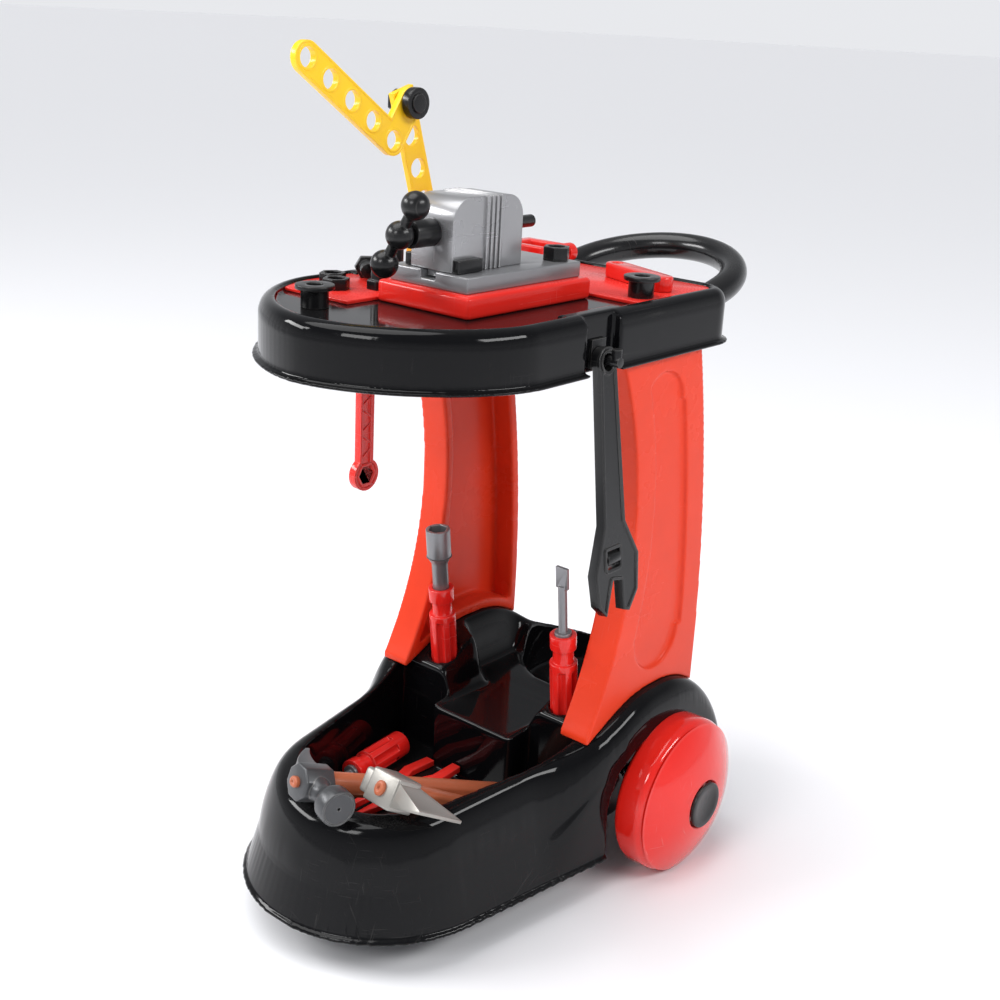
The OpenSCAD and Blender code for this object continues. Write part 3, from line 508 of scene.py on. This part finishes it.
# ---------------------------------------------------------------- Tray
# A glossy black skirted tray with a raised rim, an out-turned flange and a
# notch on each side. A red sheet lies in its left and rear deck.
table_red = plastic(
    "table_red", (0.72, 0.020, 0.013), 0.22, coat=0.1, shine=0.22, bump=0.05, mottle=0.25,
    grain_size=900.0, grain=0.4, scuffs=0.6, edge_rub=0.12, dust=0.10,
)
tray_half, tray_rear, tray_oval, oval_reach, oval_power = 0.102, 0.110, -0.106, 0.097, 1.75
tray_round, tray_corner, tray_grid = 0.009, 0.024, 0.0011
skirt_foot, skirt_run = 0.390, 0.027


def tray_depth(x, y):
    """How far a point of the tray lies inside the tray's outline in plan."""
    x = abs(x)
    if y < tray_oval:
        reach = (x / tray_half) ** oval_power + ((tray_oval - y) / oval_reach) ** oval_power
        reach = reach ** (1 / oval_power)
        return (1 - reach) * math.hypot(x, tray_oval - y) / max(reach, 0.01)
    if x > tray_half - tray_corner and y > tray_rear - tray_corner:
        return tray_corner - math.hypot(x - tray_half + tray_corner, y - tray_rear + tray_corner)
    return min(tray_half - x, tray_rear - y)


tray = cad_blank("tray_shell", "work_tray")
apply_modifier(tray, "REMESH", mode="VOXEL", voxel_size=tray_grid)
for vertex in tray.data.vertices:
    point = vertex.co
    edge_gap = min(max(tray_depth(point.x, point.y), 0), tray_round)
    lift = ease((point.z - skirt_foot) / skirt_run)
    vertex.co.z -= (tray_round - math.sqrt(tray_round**2 - (tray_round - edge_gap) ** 2)) * lift
apply_modifier(tray, "SMOOTH", factor=0.5, iterations=7)
apply_modifier(tray, "DECIMATE", ratio=0.45)
bpy.ops.object.shade_smooth()
hand_over(tray, "bench", "black_shell", black_gloss, "tray_shell")
red_sheet = rounded_copy("table_insert", "red_sheet", 0.0007)
hand_over(red_sheet, "bench", "red_plastic", table_red, "table_insert")

# ---------------------------------------------------------------- Push handle
# A loop of black tube moulded with the tray's rear sockets, with a fine grip
# grain where the hands go.
handle_black = plastic(
    "handle_black", (0.006, 0.006, 0.0066), 0.24, coat=0.25, bump=0.06, mottle=0.4,
    grain_size=1000.0, grain=0.5, scuffs=0.6, edge_rub=0.15, dust=0.07,
)
handle_loop = rounded_copy("push_handle", "handle_loop", 0.0010)
hand_over(handle_loop, "bench", "black_plastic", handle_black, "push_handle")
for word in ("left", "right"):
    hook = rounded_copy("hook_" + word, "notch_hook_" + word, 0.0007, clamp=True)
    hand_over(hook, "bench", "black_plastic", black_satin, "hook_" + word)

# ---------------------------------------------------------------- Vise
# A glossy red plinth carries a silver-grey bed and two jaws that meet in
# fluted faces. The black screw ends in a hub and a bar with three balls.
vise_grey = plastic(
    "vise_grey", (0.27, 0.27, 0.28), 0.30, metallic=0.55, coat=0.15, bump=0.06, mottle=0.2, grain_size=1400.0,
    grain=0.5, scuffs=0.7, edge_rub=0.25, dust=0.05,
)
jaw_grey = plastic(
    "jaw_grey", (0.36, 0.36, 0.37), 0.27, metallic=0.6, coat=0.2, bump=0.05, mottle=0.2, grain_size=1400.0,
    grain=0.45, scuffs=0.7, edge_rub=0.25, dust=0.05,
)
vise_middle, jaw_half, jaw_height, jaw_foot = 0.016, 0.017, 0.044, 0.4413
plate_size = (jaw_half * 2 + 0.0030, 0.0026, jaw_height + 0.0006)
jaw_plates = {"vise_fixed_jaw": (-0.0740, -0.0698, -0.0656), "vise_moving_jaw": (-0.0784,)}


def unit_cube():
    """A new cube of one metre, to be shaped."""
    bpy.ops.object.select_all(action="DESELECT")
    bpy.ops.mesh.primitive_cube_add(size=1)
    return bpy.context.object


def add_block(piece, size, place, bevel, turn=(0, 0, 0)):
    """Joins one bevelled block to a piece."""
    block = unit_cube()
    block.data.transform(Matrix.Diagonal((*size, 1)))
    apply_modifier(block, "BEVEL", width=bevel, segments=2, use_clamp_overlap=True)
    bpy.ops.object.shade_smooth_by_angle(angle=math.radians(40))
    block.data.transform(Matrix.Translation(place) @ Euler(turn).to_matrix().to_4x4())
    join_to(piece, block)


def join_to(piece, other):
    """Makes another piece's mesh part of this one."""
    bpy.ops.object.select_all(action="DESELECT")
    other.data.materials.clear()
    other.select_set(True)
    piece.select_set(True)
    bpy.context.view_layer.objects.active = piece
    bpy.ops.object.join()


for node, name, width, slot, material, body in (
    ("vise_plinth", "vise_plinth_block", 0.0028, "red_plastic", table_red, "bench"),
    ("vise_bed", "vise_bed_plate", 0.0010, "grey_vise", vise_grey, "bench"),
    ("vise_fixed_jaw", "rear_jaw", 0.0007, "grey_vise", jaw_grey, "bench"),
    ("vise_moving_jaw", "front_jaw", 0.0007, "grey_vise", jaw_grey, "vise_jaw"),
    ("vise_stop_block", "stop_blocks", 0.0007, "black_plastic", black_satin, "vise_jaw"),
    ("vise_screw", "vise_screw_and_hub", 0.0009, "black_plastic", black_satin, "vise_spindle"),
    ("vise_t_bar", "vise_ball_bar", 0.0005, "black_plastic", black_satin, "vise_spindle"),
):
    piece = rounded_copy(node, name, width)
    for depth in jaw_plates.get(node, ()):
        add_block(piece, plate_size, (vise_middle, depth, jaw_foot + jaw_height / 2), 0.0006)
    hand_over(piece, body, slot, material, node)

# ---------------------------------------------------------------- Crane
# Yellow strips with round holes, joined by black hex bolts and round nuts
# that pinch them, so the arm stays where it is put.
crane_yellow = plastic(
    "crane_yellow", (0.96, 0.60, 0.012), 0.30, coat=0.15, bump=0.06, mottle=0.15,
    grain_size=1100.0, grain=0.5, scuffs=0.5, edge_rub=0.15, dust=0.03,
)
# The bracket's colour is the crane's yellow darkened towards orange: painted shade, as if the bracket stood in
# shadow, not an orange plastic.
bracket_painted_shade_yellow = plastic(
    "bracket_painted_shade_yellow", (0.86, 0.38, 0.010), 0.30, coat=0.15, bump=0.06, mottle=0.15,
    grain_size=1100.0, grain=0.5, scuffs=0.5, edge_rub=0.15, dust=0.03,
)


def sink_panel(piece, direction, border, depth, even=True):
    """Sinks the flat faces that look along a direction, and leaves a raised border round them."""
    bpy.ops.object.select_all(action="DESELECT")
    bpy.context.view_layer.objects.active = piece
    piece.select_set(True)
    for polygon in piece.data.polygons:
        polygon.select = abs(polygon.normal.dot(direction)) > 0.9995
    bpy.ops.object.mode_set(mode="EDIT")
    bpy.ops.mesh.select_mode(type="FACE")
    bpy.ops.mesh.inset(thickness=border, depth=0, use_even_offset=even)
    bpy.ops.mesh.inset(thickness=depth * 0.6, depth=-depth, use_even_offset=even)
    bpy.ops.object.mode_set(mode="OBJECT")


for node, name, width, slot, material, body in (
    # The bracket takes the crane yellow with painted shade in its colour.
    ("crane_bracket", "bracket", 0.0006, "yellow_plastic", bracket_painted_shade_yellow, "bench"),
    ("crane_strip", "lower_strip", 0.0006, "yellow_plastic", crane_yellow, "crane_lower"),
    ("crane_elbow", "elbow_strip", 0.0006, "yellow_plastic", crane_yellow, "crane_upper"),
    ("crane_bolt_lower", "lower_bolt", 0.0005, "black_plastic", black_satin, "bench"),
    ("crane_nut_lower", "lower_nut", 0.0005, "black_plastic", black_satin, "bench"),
    ("crane_bolt_upper", "upper_bolt", 0.0005, "black_plastic", black_satin, "crane_lower"),
    ("crane_nut_upper", "upper_nut", 0.0005, "black_plastic", black_satin, "crane_lower"),
):
    piece = cad_blank(node, name)
    if node in ("crane_strip", "crane_elbow"):
        sink_panel(piece, Vector((1, 0, 0)), 0.0013, 0.0004)
    round_edges(piece, width if slot != "yellow_plastic" else 0.0003)
    hand_over(piece, body, slot, material, node)

# ---------------------------------------------------------------- Loose parts
# Toy pegs, bolts and nuts of black plastic, and a red cap, clamp and lever
# that stand on the deck and lift off.
small_red = plastic(
    "small_red", (0.70, 0.018, 0.012), 0.22, coat=0.3, bump=0.06, mottle=0.25, grain_size=1000.0, grain=0.5,
    scuffs=0.6, edge_rub=0.18, dust=0.06,
)
for node, name, width, slot, material, body in (
    ("flanged_pegs", "pegs_with_flange", 0.0006, "black_plastic", black_satin, "pegs"),
    ("toy_bolts", "hex_bolts", 0.0006, "black_plastic", black_satin, "bolts"),
    ("toy_nuts", "hex_nuts", 0.0006, "black_plastic", black_satin, "nuts"),
    ("bed_nut", "nut_on_bed", 0.0006, "black_plastic", black_satin, "single_nut"),
    ("red_cap", "round_cap", 0.0012, "red_plastic", small_red, "cap"),
    ("red_clamp", "clamp_frame", 0.0012, "red_plastic", small_red, "clamp"),
    ("clamp_knob", "clamp_screw_and_knob", 0.0008, "red_plastic", small_red, "clamp_screw"),
    ("red_lever", "flat_lever", 0.0012, "red_plastic", small_red, "lever"),
):
    hand_over(rounded_copy(node, name, width), body, slot, material, node)

# ---------------------------------------------------------------- Hanging wrenches
# A flat red ring wrench and a one-piece black wrench with a worm block, each
# hung by an eye on the hook of its notch.
notch_place, ring_gap = -0.044, 0.121
wrench_lean = math.radians(8)
rib_size, rib_count, rib_tilt = (0.0010, 0.0100, 0.0013), 10, 32
low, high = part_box("ring_wrench")
ring_wrench = cad_blank("ring_wrench", "red_ring_wrench")
sink_panel(ring_wrench, Vector((1, 0, 0)), 0.0019, 0.0009)
round_edges(ring_wrench, 0.0004, clamp=True)
first_rib = high.z - 0.0285
for face in (-1, 1):
    for i in range(rib_count):
        height = first_rib - i * (ring_gap - 0.033) / (rib_count - 1)
        tilt = math.radians(rib_tilt if i % 2 else -rib_tilt)
        place = ((low.x + high.x) / 2 + face * 0.0023, notch_place, height)
        add_block(ring_wrench, rib_size, place, 0.0003, (tilt, 0, 0))
hand_over(ring_wrench, "red_wrench", "red_plastic", small_red, "ring_wrench")
black_wrench = cad_blank("adjustable_wrench", "black_wrench_frame")
round_edges(black_wrench, 0.0005, clamp=True)
wrench_facing = Vector((math.cos(wrench_lean), 0, math.sin(wrench_lean)))
sink_panel(black_wrench, wrench_facing, 0.0016, 0.0009, even=False)
bpy.ops.object.shade_smooth_by_angle(angle=math.radians(30))
hand_over(black_wrench, "black_wrench", "black_plastic", black_satin, "adjustable_wrench")
worm = rounded_copy("wrench_worm", "black_wrench_worm", 0.0004)
hand_over(worm, "black_wrench", "black_plastic", black_satin, "wrench_worm")

# ---------------------------------------------------------------- Drivers
# A nut driver and a screwdriver stand in sockets of the base, with fluted red
# handles and grey shafts. A short screwdriver lies in the basin.
grip_red = plastic(
    "grip_red", (0.74, 0.016, 0.012), 0.20, coat=0.4, bump=0.05, mottle=0.2, grain_size=900.0, grain=0.3,
    scuffs=0.6, edge_rub=0.15, dust=0.04,
)
shaft_grey = plastic(
    "shaft_grey", (0.22, 0.22, 0.23), 0.32, metallic=0.6, bump=0.06, mottle=0.2, grain_size=1300.0, grain=0.5,
    scuffs=0.7, edge_rub=0.3, dust=0.03,
)
for node, name, width, slot, material, body in (
    ("nut_driver_grip", "nut_driver_handle", 0.0006, "red_grip", grip_red, "nut_driver"),
    ("nut_driver_shaft", "nut_driver_socket", 0.0006, "grey_plastic", shaft_grey, "nut_driver"),
    ("screwdriver_grip", "screwdriver_handle", 0.0006, "red_grip", grip_red, "screwdriver"),
    ("screwdriver_blade", "screwdriver_shank", 0.0003, "grey_plastic", shaft_grey, "screwdriver"),
    ("loose_driver_grip", "short_driver_handle", 0.0006, "red_grip", grip_red, "short_driver"),
    ("loose_driver_blade", "short_driver_shank", 0.0003, "grey_plastic", shaft_grey, "short_driver"),
):
    hand_over(rounded_copy(node, name, width), body, slot, material, node)

# ---------------------------------------------------------------- Hammer and hatchet
# Wood-coloured plastic hafts end in oval nubs in grey heads: one has a turned
# striker and two curved claws, the other a flared blade with sunken sides.
# Both lean out of the basin over its front rim.
haft_brown = plastic(
    "haft_brown", (0.40, 0.105, 0.045), 0.38, coat=0.1, bump=0.06, mottle=0.5, grain_size=500.0, grain=0.6,
    scuffs=0.5, edge_rub=0.1, dust=0.05,
)
head_dark = plastic(
    "head_dark", (0.060, 0.062, 0.066), 0.32, metallic=0.4, bump=0.07, mottle=0.3,
    grain_size=1200.0, grain=0.6, scuffs=0.7, edge_rub=0.35, dust=0.05,
)
head_silver = plastic(
    "head_silver", (0.33, 0.315, 0.29), 0.34, metallic=0.6, bump=0.07, mottle=0.3,
    grain_size=1200.0, grain=0.6, scuffs=0.7, edge_rub=0.3, dust=0.05,
)
basin_floor, haft_thick = 0.0523, 0.008


def tool_frame(place, turn, rise, reach):
    """Frame of a tool's head: x across, y upwards and z out along the haft."""
    lift = basin_floor + haft_thick * math.cos(math.radians(rise))
    frame_matrix = Matrix.Translation((*place, lift)) @ Matrix.Rotation(math.radians(turn), 4, "Z")
    return frame_matrix @ Matrix.Rotation(math.radians(90 - rise), 4, "X") @ Matrix.Translation((0, 0, reach))


def new_block(size, place, bevel, corners=4):
    """A bevelled bar with a few flat sides, standing along z."""
    bpy.ops.object.select_all(action="DESELECT")
    bpy.ops.mesh.primitive_cylinder_add(vertices=corners, radius=0.5 / math.cos(math.pi / corners), depth=1)
    block = bpy.context.object
    turned = Matrix.Rotation(math.pi / corners, 4, "Z")
    block.data.transform(Matrix.Translation(place) @ Matrix.Diagonal((*size, 1)) @ turned)
    apply_modifier(block, "BEVEL", width=bevel, segments=3, use_clamp_overlap=True)
    bpy.ops.object.shade_smooth_by_angle(angle=math.radians(40))
    return block


def haft_nub(size):
    """The oval end of a haft, with its small dimple."""
    nub = turn_on_lathe("haft_nub", nub_profile, 40)
    nub.data.transform(Matrix.Translation((0, 0, nub_reach)) @ Matrix.Diagonal((*size, 1, 1)))
    return nub


nub_reach = 0.0112
nub_profile = [
    (0.0, -0.002), (0.5, -0.002), (0.5, 0.0022), (0.44, 0.0029), (0.34, 0.0032), (0.14, 0.0032), (0.10, 0.0020),
    (0.0, 0.0020),
]
striker_profile = [
    (0.0, 0.004), (0.0085, 0.004), (0.0082, 0.0115), (0.0070, 0.0145), (0.0066, 0.0180), (0.0074, 0.0210),
    (0.0100, 0.0236), (0.0112, 0.0262), (0.0120, 0.0275), (0.0122, 0.0290), (0.0122, 0.0366),
    (0.0117, 0.0378), (0.0108, 0.0383), (0.0103, 0.0380), (0.0101, 0.0374), (0.0013, 0.0376),
    (0.0010, 0.0372), (0.0010, 0.0355), (0.0, 0.0355),
]
claw_length, claw_width, claw_height, claw_root = 0.028, 0.0072, 0.0170, 0.0215
hammer_frame = tool_frame((0.038, -0.036), -15.2, 19.3, 0.164)
hammer_head = new_block((0.0245, 0.0235, 0.0222), (0, 0, 0), 0.0016, 8)
hammer_head.name = "claw_hammer_head"
striker = turn_on_lathe("striker", striker_profile, 64)
striker.data.transform(Matrix.Rotation(math.pi / 2, 4, "Y"))
join_to(hammer_head, striker)
for side in (-1, 1):
    claw = unit_cube()
    claw.data.transform(Matrix.Diagonal((claw_length, claw_width, claw_height, 1)))
    for across in range(8):
        bpy.ops.object.mode_set(mode="EDIT")
        bpy.ops.mesh.select_all(action="SELECT")
        bpy.ops.mesh.bisect(plane_co=(-0.0105 + across * 0.003, 0, 0), plane_no=(1, 0, 0))
        bpy.ops.object.mode_set(mode="OBJECT")
    for vertex in claw.data.vertices:
        along = min(max((claw_length / 2 - vertex.co.x) / claw_length, 0), 1)
        vertex.co.z = vertex.co.z * (1 - 0.80 * along) - 0.0135 * along**1.8
        vertex.co.y = vertex.co.y * (1 - 0.30 * along) + side * (0.0048 + 0.0016 * along)
        vertex.co.x -= claw_root
    apply_modifier(claw, "BEVEL", width=0.0008, segments=2, limit_method="ANGLE", use_clamp_overlap=True)
    bpy.ops.object.shade_smooth_by_angle(angle=math.radians(40))
    join_to(hammer_head, claw)
hand_over(put(hammer_head, hammer_frame), "hammer", "dark_head", head_dark, "hammer_head")

hatchet_frame = tool_frame((0.052, -0.062), -2.0, 31.1, 0.118)
hatchet_head = new_block((0.0240, 0.0215, 0.0236), (0, 0, 0), 0.0018)
hatchet_head.name = "hatchet_blade_head"
join_to(hatchet_head, new_block((0.0130, 0.0165, 0.0175), (-0.0135, 0, 0), 0.0022))
blade_root = {"reach": 0.0095, "thick": 0.0086, "high": 0.0100, "low": -0.0100}
blade_edge = {"reach": 0.0437, "thick": 0.0011, "high": 0.0235, "low": -0.0215}
blade = unit_cube()
for vertex in blade.data.vertices:
    end = blade_edge if vertex.co.x > 0 else blade_root
    height = end["high"] if vertex.co.z > 0 else end["low"]
    vertex.co = (end["reach"], math.copysign(end["thick"], vertex.co.y), height)
bpy.ops.object.mode_set(mode="EDIT")
bpy.ops.mesh.select_mode(type="FACE")
bpy.ops.mesh.select_all(action="DESELECT")
bpy.ops.object.mode_set(mode="OBJECT")
for polygon in blade.data.polygons:
    polygon.select = abs(polygon.normal.y) > 0.6
bpy.ops.object.mode_set(mode="EDIT")
bpy.ops.mesh.inset(thickness=0.0018, depth=0, use_even_offset=True)
bpy.ops.mesh.inset(thickness=0.0006, depth=-0.0005, use_even_offset=True)
bpy.ops.object.mode_set(mode="OBJECT")
apply_modifier(blade, "BEVEL", width=0.0005, segments=2, limit_method="ANGLE", use_clamp_overlap=True)
bpy.ops.object.shade_smooth_by_angle(angle=math.radians(40))
join_to(hatchet_head, blade)
hand_over(put(hatchet_head, hatchet_frame), "hatchet", "silver_head", head_silver, "hatchet_head")

for node, name, body, place, size in (
    ("hammer_haft", "hammer_handle", "hammer", hammer_frame, (0.0088, 0.0072)),
    ("hatchet_haft", "hatchet_handle", "hatchet", hatchet_frame, (0.0078, 0.0100)),
):
    haft = rounded_copy(node, name, 0.0010)
    join_to(haft, put(haft_nub(size), place))
    hand_over(haft, body, "wood_tone", haft_brown, node)

# ---------------------------------------------------------------- Basin tools
# Flat red pliers on a steel-look pin, and a black level block.
for node, name, width, slot, material, body in (
    ("pliers_jaw_a", "lower_pliers_half", 0.0008, "red_plastic", small_red, "pliers"),
    ("pliers_jaw_b", "upper_pliers_half", 0.0008, "red_plastic", small_red, "pliers_half"),
    ("pliers_pin", "pliers_rivet", 0.0004, "grey_plastic", shaft_grey, "pliers"),
    ("spirit_level", "level_block", 0.0014, "black_plastic", black_satin, "level"),
):
    hand_over(rounded_copy(node, name, width), body, slot, material, node)

# ---------------------------------------------------------------- Studio
# A plain pale floor under a softly shaded sky, a broad light overhead, and
# long lamps to the left, in front and to the right.
bpy.ops.object.select_all(action="DESELECT")
bpy.ops.mesh.primitive_plane_add(size=120)
floor = bpy.context.object
floor.name = "studio_floor"
floor_paint = bpy.data.materials.new("floor_paint")
floor_paint.use_nodes = True
floor_shader = floor_paint.node_tree.nodes["Principled BSDF"]
floor_shader.inputs["Base Color"].default_value = (0.86, 0.86, 0.88, 1)
floor_shader.inputs["Roughness"].default_value = 0.55
floor.data.materials.append(floor_paint)
world = bpy.data.worlds.new("studio_air")
world.use_nodes = True
air = world.node_tree
all_round = add_node(air, "ShaderNodeTexCoord").outputs["Generated"]
direction = add_node(air, "ShaderNodeSeparateXYZ", (("Vector", all_round),))
height = add_node(
    air, "ShaderNodeMapRange", (("Value", direction.outputs["Z"]), ("From Min", 0.03), ("From Max", 0.45))
).outputs[0]
low_air, high_air = (0.85, 0.86, 0.89, 1), (0.30, 0.31, 0.33, 1)
glow = mix_colour(air, height, low_air, high_air)
air.links.new(glow, air.nodes["Background"].inputs["Color"])
air.nodes["Background"].inputs["Strength"].default_value = 0.95
bpy.context.scene.view_settings.view_transform = "Standard"
bpy.context.scene.world = world
for name, place, size, power in (
    ("light_left", (-1.5, -1.2, 1.3), (1.3, 0.4), 26),
    ("light_front", (0.2, -2.0, 1.5), (0.7, 0.5), 12),
    ("light_right", (1.7, 0.3, 1.5), (1.3, 0.4), 22),
):
    lamp = bpy.data.lights.new(name, "AREA")
    lamp.shape = "RECTANGLE"
    lamp.size, lamp.size_y = size
    lamp.energy = power
    lamp_object = bpy.data.objects.new(name, lamp)
    bpy.context.scene.collection.objects.link(lamp_object)
    lamp_object.location = place
    towards = Vector((0, 0, 0.25)) - Vector(place)
    lamp_object.rotation_euler = towards.to_track_quat("-Z", "Y").to_euler()

sun = bpy.data.lights.new("light_sky", "SUN")
sun.energy = 2.1
sun.angle = math.radians(50)
sun_object = bpy.data.objects.new("light_sky", sun)
bpy.context.scene.collection.objects.link(sun_object)
sun_object.rotation_euler = (math.radians(12), math.radians(-14), 0)
